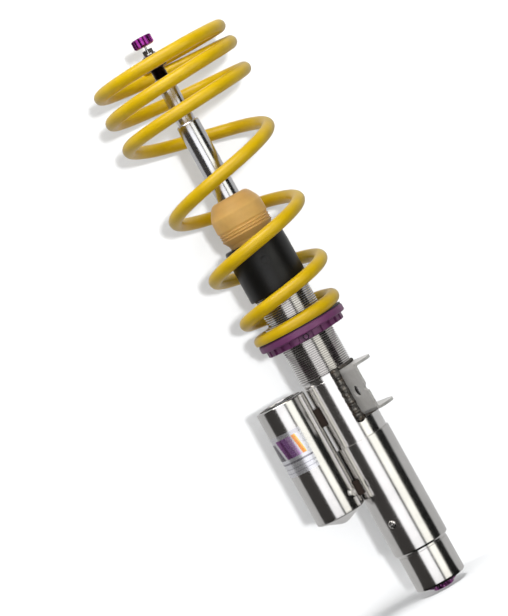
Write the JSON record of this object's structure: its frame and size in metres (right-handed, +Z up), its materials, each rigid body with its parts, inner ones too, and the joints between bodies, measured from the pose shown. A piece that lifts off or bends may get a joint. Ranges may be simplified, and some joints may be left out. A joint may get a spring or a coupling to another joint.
{
  "type": "coilover strut",
  "caption": "Suspension strut with a threaded height collar, cone-shaped coil spring, side gas reservoir, bump stop and adjuster knobs; its lower end clamps into a wheel carrier.",
  "frame": {"origin": "on the strut's axis, at the lower end of the wall that the wheel carrier clamps", "axes": "+Z up the strut towards the rod's thread; the reservoir stands on the -X side; -Y is the strut's front, where the collar's lock screw is"},
  "size_m": [0.145, 0.1414, 0.5701],
  "materials": {
    "polished_steel": "mirror-polished stainless steel",
    "rod_chrome": "hard-chromed and ground",
    "sheet_steel": "satin pressed sheet steel",
    "weld_bead": "raw weld metal, dull",
    "weld_dot": "bright weld dot",
    "black_steel": "black-oxide steel",
    "knob_anodised": "purple anodised, polished",
    "lower_knob_anodised": "dark purple anodised, satin",
    "collar_plastic": "moulded purple plastic, matte",
    "spring_paint": "yellow powder coat, semi-gloss",
    "sleeve_plastic": "black moulded plastic, satin",
    "foam": "tan microcellular foam, matte",
    "machined_alloy": "machined aluminium",
    "cartridge_brass": "machined brass",
    "inner_steel": "honed steel tube and ground needles",
    "shim_steel": "blue-tempered spring steel",
    "seal_rubber": "nitrile rubber",
    "bearing_band": "bronze-filled PTFE",
    "slip_plastic": "black acetal",
    "pad_plastic": "natural nylon",
    "label_film": "printed film with plain bands"
  },
  "bodies": {
    "strut_body": {"lower_housing": "polished_steel", "threaded_tube": "polished_steel", "locating_weld": "weld_dot", "base_plug": "machined_alloy", "base_valve": "machined_alloy", "compression_cartridge": "cartridge_brass", "damper_cylinder": "inner_steel", "rod_guide": "machined_alloy", "guide_bush": "bearing_band", "rod_seal": "seal_rubber", "gland_nut": "machined_alloy", "wiper_seal": "seal_rubber", "link_bracket": "sheet_steel", "bracket_weld": "weld_bead", "reservoir_tube": "polished_steel", "reservoir_top_cap": "machined_alloy", "reservoir_circlip": "black_steel", "reservoir_base_cap": "polished_steel", "cap_o_rings": "seal_rubber", "gas_valve_screw": "black_steel", "bridge_block": "weld_bead", "reservoir_saddle": "weld_bead", "bleed_plug": "polished_steel", "reservoir_label": "label_film"},
    "floating_piston": {"floating_piston": "machined_alloy", "floating_piston_seal": "seal_rubber"},
    "compression_adjuster": {"compression_knob": "lower_knob_anodised", "compression_needle": "inner_steel"},
    "piston_rod": {"piston_rod": "rod_chrome", "topout_bumper": "seal_rubber", "backing_washer": "black_steel", "compression_shims": "shim_steel", "piston": "machined_alloy", "piston_band": "bearing_band", "rebound_shims": "shim_steel", "piston_nut": "black_steel", "rod_locknut": "black_steel"},
    "rebound_adjuster": {"rebound_knob": "knob_anodised", "rebound_stem": "inner_steel", "knob_set_screw": "black_steel"},
    "bump_sleeve": {"bump_stop": "foam", "dust_sleeve": "sleeve_plastic"},
    "spring_seat": {"slip_ring": "slip_plastic", "coil_spring": "spring_paint"},
    "perch_collar": {"perch_collar": "collar_plastic", "collar_insert": "polished_steel", "collar_lock_screw": "inner_steel", "lock_pad": "pad_plastic"}
  },
  "joints": [
    {"name": "rod_travel", "type": "slide", "parent": "strut_body", "child": "piston_rod", "axis": [0, 0, 1], "range_m": [-0.12, 0], "stiffness_N_per_m": 300, "springref_m": 0.2},
    {"name": "rebound_click", "type": "hinge", "parent": "piston_rod", "child": "rebound_adjuster", "pos_m": [0, 0, 0.558], "axis": [0, 0, 1], "range_deg": [-540, 540]},
    {"name": "compression_click", "type": "hinge", "parent": "strut_body", "child": "compression_adjuster", "pos_m": [0, 0, -0.005], "axis": [0, 0, 1], "range_deg": [-360, 360]},
    {"name": "sleeve_slide", "type": "slide", "parent": "strut_body", "child": "bump_sleeve", "axis": [0, 0, 1], "range_m": [0, 0.077]},
    {"name": "perch_height", "type": "slide", "parent": "strut_body", "child": "spring_seat", "axis": [0, 0, 1], "range_m": [-0.03, 0.02]},
    {"name": "collar_spin", "type": "hinge", "parent": "spring_seat", "child": "perch_collar", "pos_m": [0, 0, 0.265], "axis": [0, 0, 1], "range_deg": [-5410, 3610]},
    {"name": "gas_piston_travel", "type": "slide", "parent": "strut_body", "child": "floating_piston", "axis": [0, 0, 1], "range_m": [0, 0.034]}
  ],
  "couplings": [
    {"joint": "collar_spin", "follows": "perch_height", "rad_per_m": 3141.6},
    {"joint": "gas_piston_travel", "follows": "rod_travel", "ratio": -0.27438}
  ]
}
